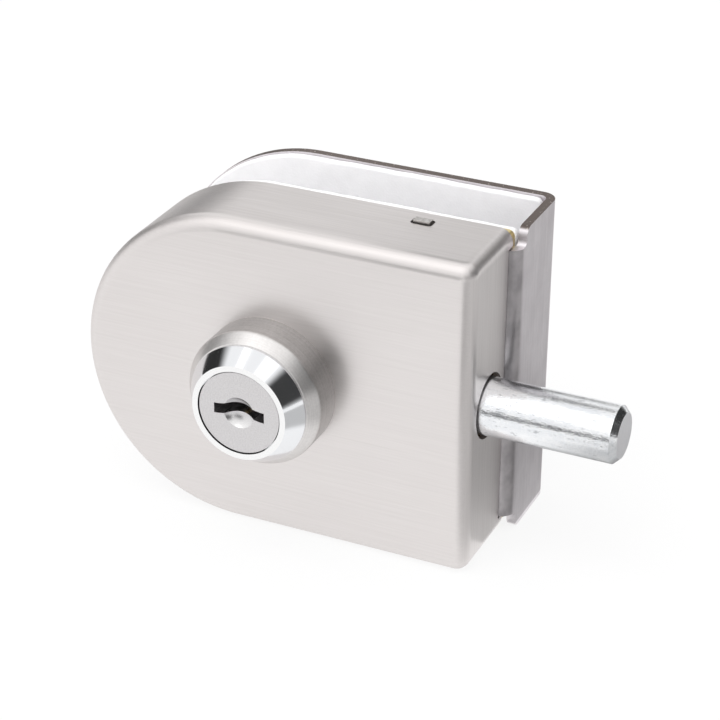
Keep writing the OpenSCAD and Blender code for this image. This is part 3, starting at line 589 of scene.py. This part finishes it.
# %% [markdown]
# A foam pad is a thin slab with a round left end, two rounded right corners and soft cut edges. A box
# with a bevel would do, but its edge would be hard. Here the pad is one closed surface of two
# parameters. The first runs round the outline, which is six parts: an arc of a corner, a straight run,
# the round end, a straight run, the other corner and the short right side. Each part has a centre that
# stands still or slides, a reach from it, and an angle that turns or stays.

# %% Outline of a pad
AROUND = 360
PAD_CORNER = 1.2 * MM
QUARTER = math.pi / 2


def pad_outline(low, high):
    """Points centre(s) + reach n(s) and their outward normals n(s) = (cos a(s), sin a(s)), at equal
    steps of the length s round a D."""
    half = (high[2] - low[2]) / 2
    end_x = low[0] + half
    x, z = high[0] - PAD_CORNER, half - PAD_CORNER
    run = x - end_x
    parts = np.array([
        # length, angle from and to, centre x from and to, centre z from and to, reach
        (PAD_CORNER * QUARTER, 0, QUARTER, x, x, z, z, PAD_CORNER),
        (run, QUARTER, QUARTER, x, end_x, 0, 0, half),
        (half * math.pi, QUARTER, 3 * QUARTER, end_x, end_x, 0, 0, half),
        (run, 3 * QUARTER, 3 * QUARTER, end_x, x, 0, 0, half),
        (PAD_CORNER * QUARTER, 3 * QUARTER, 4 * QUARTER, x, x, -z, -z, PAD_CORNER),
        (2 * z, 4 * QUARTER, 4 * QUARTER, x, x, -z, z, PAD_CORNER),
    ])
    ends = np.cumsum(parts[:, 0])
    s = np.arange(AROUND) / AROUND * ends[-1]
    part = np.searchsorted(ends, s, side="right")
    length, a0, a1, x0, x1, z0, z1, reach = parts[part].T
    t = (s - (ends - parts[:, 0])[part]) / length
    angle = a0 + (a1 - a0) * t
    normal = np.column_stack([np.cos(angle), np.sin(angle)])
    centre = np.column_stack([x0 + (x1 - x0) * t, z0 + (z1 - z0) * t + (high[2] + low[2]) / 2])
    return centre + normal * reach[:, None], normal


pad_points = pad_outline(*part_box("rear_pad"))[0]
print("the rear pad's outline spans", np.ptp(pad_points, axis=0).round(4), "m")

# %% [markdown]
# The second parameter runs from the middle of the front, out over the soft edge and back to the middle
# of the rear. The soft edge is a quarter circle at the front and another at the rear. Pressed foam
# isn't quite even, so its edge wanders by a few hundredths of a millimetre.

# %% Foam pads
FLAT_RINGS = 14
EDGE_RINGS = 12
EDGE_SOFTNESS = 0.4 * MM
EDGE_WANDER = 0.05 * MM
PADS = [("front_foam_pad", "front_pad", "pressure_set"), ("rear_foam_pad", "rear_pad", "lock_case")]


def wandering():
    """Three sines round the outline, from 0 up: sin 7p + 0.6 sin (17p + 1.3) + 0.5 sin (41p + 2.1)."""
    p = np.linspace(0.0, 2 * math.pi, AROUND, endpoint=False)
    waves = EDGE_WANDER * (np.sin(7 * p) + 0.6 * np.sin(17 * p + 1.3) + 0.5 * np.sin(41 * p + 2.1))
    return waves - waves.min()


def foam_pad(name, node_name):
    """A closed slab in the box of its CAD node. Ring v is middle + (edge(u) - n(u) inset(v) - middle)
    share(v), at depth(v), and a fan of triangles closes each of its two faces."""
    low, high = (np.array(corner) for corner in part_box(node_name))
    front, rear = low[1], high[1]
    outline, normal = pad_outline(low, high)
    edge = outline - normal * wandering()[:, None]
    middle = (low + high)[[0, 2]] / 2
    turn = np.linspace(0.0, 1.0, EDGE_RINGS) * QUARTER
    flat = np.linspace(0.0, 1.0, FLAT_RINGS + 1)[1:-1]
    share = np.concatenate([flat, np.ones(EDGE_RINGS)])
    inset = np.concatenate([np.ones(len(flat)), 1 - np.sin(turn)]) * EDGE_SOFTNESS
    rise = np.concatenate([np.zeros(len(flat)), 1 - np.cos(turn)]) * EDGE_SOFTNESS
    depth = np.concatenate([front + rise, rear - rise[::-1]])
    share, inset = (np.concatenate([half, half[::-1]])[:, None, None] for half in (share, inset))
    rings = middle + (edge - normal * inset - middle) * share
    depths = np.broadcast_to(depth[:, None], rings.shape[:2])
    poles = [[middle[0], front, middle[1]], [middle[0], rear, middle[1]]]
    points = np.concatenate([np.stack([rings[..., 0], depths, rings[..., 1]], 2).reshape(-1, 3), poles])
    first = np.arange(AROUND)
    following = (first + 1) % AROUND
    last, pole = (len(depth) - 1) * AROUND, np.full(AROUND, len(points) - 2)
    fans = np.concatenate([np.column_stack([pole, following, first]),
                           np.column_stack([pole + 1, last + first, last + following])])
    quads = grid_faces(len(depth), AROUND)[:, ::-1]
    return new_piece(name, points, quads.tolist() + fans.tolist(), white_foam)


for piece_name, node_name, body in PADS:
    pad = foam_pad(piece_name, node_name)
    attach(pad, body)
    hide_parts(node_name)
    print(piece_name, len(pad.data.polygons), "faces")

# %% [markdown]
# The collar is a turned ring. Its shoulder isn't sharp: the turner has broken both edges, and these
# soft edges catch the light as two bright rings. So it is modelled as a lathe would cut it, with a
# profile whose corners are true arcs, swept round the key axis. The bore keeps the CAD ring's size.

# %% Profile of the collar
CORNER_STEPS = 8
SHOULDER_RADIUS = 0.9 * MM
TIP_RADIUS = 0.35 * MM
FOOT_RADIUS = 0.15 * MM
COLLAR_TOP_RADIUS = 10.5 * MM
COLLAR_BORE_RADIUS = 8.85 * MM
COLLAR_BEVEL = 2.0 * MM


def unit(vector):
    """A vector, or each row of an array, at length 1."""
    return vector / np.linalg.norm(vector, axis=-1, keepdims=True)


def rounded(corners):
    """A closed polygon whose corners (radius, depth, rounding) are replaced by arcs.

    With unit directions a and b from a corner to its neighbours and the angle w between them, the arc of
    radius r starts r / tan(w / 2) along a, ends the same way along b, and has its centre at
    r / sin(w / 2) along their bisector."""
    corners = np.array(corners)
    t = np.linspace(0, 1, CORNER_STEPS + 1)[:, None]
    arcs = []
    for i, (*corner, rounding) in enumerate(corners):
        a = unit(corners[i - 1][:2] - corner)
        b = unit(corners[(i + 1) % len(corners)][:2] - corner)
        half = math.acos(float(np.clip(a @ b, -1, 1))) / 2
        centre = corner + unit(a + b) * rounding / math.sin(half)
        start = corner + a * rounding / math.tan(half) - centre
        end = corner + b * rounding / math.tan(half) - centre
        arcs.append(centre + unit(start * (1 - t) + end * t) * rounding)
    return np.concatenate(arcs)


(_, collar_front, _), (collar_outer, collar_back, _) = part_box("collar")
collar_profile = rounded([
    (COLLAR_BORE_RADIUS, collar_back, FOOT_RADIUS),
    (COLLAR_BORE_RADIUS, collar_front, FOOT_RADIUS),
    (COLLAR_TOP_RADIUS, collar_front, TIP_RADIUS),
    (collar_outer, collar_front + COLLAR_BEVEL, SHOULDER_RADIUS),
    (collar_outer, collar_back, FOOT_RADIUS),
])
print("the profile has", len(collar_profile), "points")

# %% [markdown]
# The lathe's sweep is a grid as well: its rows are the steps round the axis and its columns are the
# points of the profile, and both close on themselves.

# %% Collar
COLLAR_STEPS = 192


def turned_ring(name, profile, material):
    """The surface (r(v) cos u, depth(v), r(v) sin u): a closed profile swept round the key axis."""
    u = np.arange(COLLAR_STEPS) / COLLAR_STEPS * 2 * math.pi
    radius, depth = profile.T
    points = np.stack([np.outer(np.cos(u), radius), np.tile(depth, (COLLAR_STEPS, 1)),
                       np.outer(np.sin(u), radius)], 2).reshape(-1, 3)
    faces = grid_faces(COLLAR_STEPS, len(profile), rows_close=True)
    return new_piece(name, points, faces.tolist(), material)


collar_ring = turned_ring("turned_collar", collar_profile, FINISHES["collar"])
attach(collar_ring, "lock_case")
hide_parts("collar")
print("collar", len(collar_ring.data.polygons), "faces")

# %% [markdown]
# Small coil springs push the catch out of the cover and the driver pins down on the plug. A spring's
# wire follows a helix whose turns lie close together at both ends and stand apart between them, and
# the ends are ground flat. A plain helix with one pitch would stand on two points, so the pitch is
# worked out first, turn by turn, and summed up to the height.

# %% Wire of a spring
STEPS_A_TURN = 28
WIRE_SIDES = 12
CLOSED_TURNS = 0.6
GROUND_HEIGHT = 0.35


def helix(turn, length, wire):
    """Heights of the wire's middle at each turn. The rise per turn goes smoothly from the wire's own
    thickness in the closed turns to an even pitch, and back. The ground ends leave the middle at
    GROUND_HEIGHT times the thickness from the end planes."""
    from_end = np.clip(np.minimum(turn, turn[-1] - turn) - CLOSED_TURNS, 0.0, 1.0)
    step = np.diff(turn, prepend=0.0)
    closed = np.cumsum(step * wire)
    opened = np.cumsum(step * from_end * from_end * (3 - 2 * from_end))
    pitch = (length - 2 * GROUND_HEIGHT * wire - closed[-1]) / opened[-1]
    return GROUND_HEIGHT * wire + closed + opened * pitch


def coil(centre, floor_z, length, radius, wire, turns):
    """Points of one spring that stands on floor_z, a row for each step along the wire: with
    m(a) = (R cos a, R sin a, z(a)), they are m + wire / 2 (outward cos b + upward sin b)."""
    turn = np.linspace(0.0, turns, int(turns * STEPS_A_TURN) + 1)
    angle = turn * 2 * math.pi
    outward = np.column_stack([np.cos(angle), np.sin(angle), 0 * angle])
    height = floor_z + helix(turn, length, wire)
    middle = np.column_stack([np.array(centre) + radius * outward[:, :2], height])
    upward = np.cross(outward, unit(np.gradient(middle, axis=0)))
    side = (np.arange(WIRE_SIDES) / WIRE_SIDES * 2 * math.pi)[None, :, None]
    around = outward[:, None] * np.cos(side) + upward[:, None] * np.sin(side)
    points = (middle[:, None] + around * wire / 2).reshape(-1, 3)
    points[:, 2] = np.clip(points[:, 2], floor_z, floor_z + length)
    return points


print("one turn of wire has", STEPS_A_TURN * WIRE_SIDES, "points")

# %% [markdown]
# Each spring fills the sleeve that the CAD model keeps for it, with a little play.

# %% Springs
SLEEVE_PLAY = 0.03 * MM
CATCH_TRAVEL = 1.6 * MM
DRIVER_TRAVEL = 0.6 * MM
LOW_END, HIGH_END = 0, 1
SPRINGS = [
    # piece, node, number, wire, turns, joint, travel, fixed end
    ("catch_coil", "catch_spring", 1, 0.42 * MM, 7.25, "catch_press", CATCH_TRAVEL, LOW_END),
    ("driver_coils", "driver_springs", 4, 0.16 * MM, 3.25, "driver_lift", DRIVER_TRAVEL, HIGH_END),
]


def springs(name, node_name, number, wire, turns):
    """A row of equal springs along Y, each in its own sleeve of the CAD node."""
    low, high = (np.array(corner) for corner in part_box(node_name))
    outer = (high[0] - low[0]) / 2
    coils = [coil(((low[0] + high[0]) / 2, y), low[2], high[2] - low[2],
                  outer - wire / 2 - SLEEVE_PLAY, wire, turns)
             for y in np.linspace(low[1] + outer, high[1] - outer, number)]
    size = len(coils[0])
    quads = grid_faces(size // WIRE_SIDES, WIRE_SIDES)
    ring = np.arange(WIRE_SIDES)
    ends = np.stack([ring[::-1], size - WIRE_SIDES + ring])
    faces = [face for k in range(number) for part in (quads, ends) for face in (part + k * size).tolist()]
    return new_piece(name, np.concatenate(coils), faces, FINISHES[node_name])


for piece_name, node_name, number, wire, turns, joint, travel, fixed_end in SPRINGS:
    piece = springs(piece_name, node_name, number, wire, turns)
    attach(piece, "lock_case")
    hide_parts(node_name)
    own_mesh(piece)
    print(piece_name, len(piece.data.polygons), "faces")

# %% [markdown]
# The lock stands on a white sweep. The floor is plain white to the camera and in reflections, and
# keeps a trace of the lock's shadow. A Mix Shader does that: the kind of ray picks between a card that
# is lit, which holds the shadow, and a plain white one.

# %% Floor
FLOOR_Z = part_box("clamp_frame")[0][2]
FLOOR_GAP = 0.1 * MM
FLOOR_SIZE = (6.0, 6.0)
FLOOR_WHITE = 0.85
CARD_WHITE, PLAIN_WHITE = (0.95, 0.95, 0.95, 1.0), (1.0, 1.0, 1.0, 1.0)
X_AXIS, Y_AXIS = np.array([1.0, 0.0, 0.0]), np.array([0.0, 1.0, 0.0])


def ray_is_seen(finish):
    """1 for rays from the camera, from a reflection or through glass."""
    path = finish.node("ShaderNodeLightPath", {})
    seen = path["Is Camera Ray"] + path["Is Glossy Ray"] + path["Is Transmission Ray"]
    return seen.math("MINIMUM", seen, 1.0)


def white_floor():
    """White card: mostly a plain white where it is seen, with a share of lit card for the shadow."""
    finish = Finish("white_floor")
    card = finish.node("ShaderNodeBsdfDiffuse", {}, CARD_WHITE)["BSDF"]
    plain = finish.node("ShaderNodeEmission", {}, PLAIN_WHITE, 1.0)["Emission"]
    mixed = finish.node("ShaderNodeMixShader", {}, ray_is_seen(finish) * FLOOR_WHITE, card, plain)[0]
    finish.node("ShaderNodeOutputMaterial", {}, Surface=mixed)
    return finish.owner


def plane(name, centre, across, down, size, material):
    """A flat card: four corners round a centre, along two unit directions."""
    signs = np.array([(-1, -1), (1, -1), (1, 1), (-1, 1)]) * np.array(size) / 2
    card = new_piece(name, centre + signs[:, :1] * across + signs[:, 1:] * down, [(0, 1, 2, 3)], material)
    return card


plane("floor", np.array([0.0, 0.0, FLOOR_Z - FLOOR_GAP]), X_AXIS, Y_AXIS, FLOOR_SIZE, white_floor())
print("floor at", round(FLOOR_Z / MM, 2), "mm")

# %% [markdown]
# Polished metal needs something dark to mirror, or it looks like plaster, so grey cards stand round
# the lock. They show in reflections alone, as a photographer's flags do, and each fades to white at
# its border so that its reflection has a soft edge. Most stand far off and shade a whole side. Three
# small ones stand close to the bolt, for the streaks along it, and three lie low on the floor.

# %% Flags
FAR = np.zeros(3)
BOLT_SIDE = np.array([48.0, -12.0, 4.0]) * MM
STANDING_FLAGS = [
    # name, the point that it faces, azimuth, elevation, distance, size, grey, softness
    ("flag_over_the_top_wall", FAR, 200.0, 26.0, 0.7, (0.34, 0.34), 0.80, 0.4),
    ("flag_over_the_bolt", BOLT_SIDE, 217.0, 56.0, 0.085, (0.056, 0.036), 0.30, 0.5),
    ("flag_behind_the_bolt", BOLT_SIDE, 203.0, 15.0, 0.1, (0.060, 0.044), 0.35, 0.4),
    ("flag_for_the_rounded_edge", FAR, 152.0, 18.0, 0.7, (0.60, 0.46), 0.03, 0.3),
    ("flag_right_of_the_corner", FAR, 116.0, 20.0, 0.7, (0.60, 0.56), 0.03, 0.25),
    ("flag_right_of_the_head", FAR, 80.0, 24.0, 0.7, (0.62, 0.90), 0.05, 0.5),
    ("flag_left_of_the_head", FAR, -103.0, 14.0, 0.7, (0.56, 0.90), 0.03, 0.6),
    ("flag_in_front_on_the_right", FAR, 40.0, -2.0, 0.7, (0.78, 0.66), 0.03, 0.4),
    ("flag_behind_the_round_end", FAR, 222.0, 3.0, 0.7, (0.60, 0.44), 0.03, 0.5),
    ("flag_at_the_horizon", BOLT_SIDE, -21.0, -1.5, 0.25, (0.22, 0.095), 0.10, 0.7),
]
LOW_HEIGHT = FLOOR_Z + 0.4 * MM
LOW_STEP = 0.3 * MM
LOW_FLAGS = [
    # name, centre, size, grey, grey of the edge, softness
    ("flag_beside_the_bolt_side", (0.126, 0.075), (0.180, 0.35), 0.58, 1.0, 0.15),
    ("flag_under_the_bolt_side", (0.066, 0.022), (0.060, 0.063), 0.36, 0.58, 0.45),
    ("flag_before_the_corner", (0.090, -0.100), (0.130, 0.100), 0.25, 1.0, 0.5),
]


def flag_shade(name, centre, across, up, size, grey, edge, softness):
    """A glow of one grey that fades to that of the edge over a share of the half size. Along each axis
    the fade is 1 - step(|offset . axis| / half size)."""
    finish = Finish(name)
    shares = []
    for axis, length in ((across, size[0]), (up, size[1])):
        offset = finish.node("ShaderNodeVectorMath", {"operation": "SUBTRACT"}, finish.place,
                             tuple(centre))[0]
        along = finish.node("ShaderNodeVectorMath", {"operation": "DOT_PRODUCT"}, offset,
                            tuple(axis))["Value"]
        shares.append(1.0 - (along * (2 / length)).absolute().above(1 - softness, 1.0))
    colour = finish.mix(shares[0] * shares[1], (edge, edge, edge), (grey, grey, grey))
    glow = finish.node("ShaderNodeEmission", {}, colour, 1.0)["Emission"]
    finish.node("ShaderNodeOutputMaterial", {}, Surface=glow)
    return finish.owner


def flag(name, centre, across, up, size, grey, edge, softness):
    """A grey card that reflections alone see."""
    shade = flag_shade(name, centre, across, up, size, grey, edge, softness)
    card = plane(name, centre, across, up, size, shade)
    card.visible_camera = card.visible_diffuse = card.visible_shadow = False


for name, point, azimuth, elevation, distance, size, grey, softness in STANDING_FLAGS:
    towards, sideways = direction(azimuth, elevation), rightward(azimuth)
    flag(name, point + towards * distance, sideways, np.cross(sideways, towards), size, grey, 1.0, softness)
for i, (name, (x, y), size, grey, edge, softness) in enumerate(LOW_FLAGS):
    centre = np.array([x, y, LOW_HEIGHT + i * LOW_STEP])
    flag(name, centre, X_AXIS, Y_AXIS, size, grey, edge, softness)
print(len(STANDING_FLAGS) + len(LOW_FLAGS), "flags")

# %% [markdown]
# Three large soft lamps light the lock from above. The strongest doesn't show in reflections, so it
# lifts the matt foam and the shadow and leaves the metal alone. The world gives the even white light
# of a tent, and is plain white where it is seen.

# %% Lamps and world
LAMPS = [
    # name, azimuth, elevation, distance, size, power, whether metal mirrors it
    ("key_light", -35.0, 55.0, 1.2, 0.9, 1.6, True),
    ("fill_light", 50.0, 60.0, 1.2, 0.8, 0.5, True),
    ("matt_light", -12.0, 62.0, 1.2, 0.8, 4.0, False),
]
WORLD_LIGHT = 0.9


def softbox(name, azimuth, elevation, distance, size, power, mirrored):
    """A square area lamp that looks at the lock from a direction."""
    lamp_data = bpy.data.lights.new(name, "AREA")
    lamp_data.shape = "SQUARE"
    lamp_data.size = size
    lamp_data.energy = power
    lamp = bpy.data.objects.new(name, lamp_data)
    bpy.context.scene.collection.objects.link(lamp)
    towards, across = direction(azimuth, elevation), rightward(azimuth)
    set_axes(lamp, across, np.cross(towards, across), towards, towards * distance)
    lamp.visible_glossy = mirrored


def white_world(light):
    """A world that lights softly, and is plain white where it is seen."""
    world = bpy.data.worlds.new("studio_world")
    finish = Finish("studio_world", world)
    strength = ray_is_seen(finish) * (1.0 - light) + light
    background = finish.node("ShaderNodeBackground", {}, PLAIN_WHITE, strength)
    finish.node("ShaderNodeOutputWorld", {}, Surface=background["Background"])
    bpy.context.scene.world = world


for lamp in LAMPS:
    softbox(*lamp)
white_world(WORLD_LIGHT)
bpy.context.scene.view_settings.view_transform = "Standard"
print(len(LAMPS), "lamps and a white world")
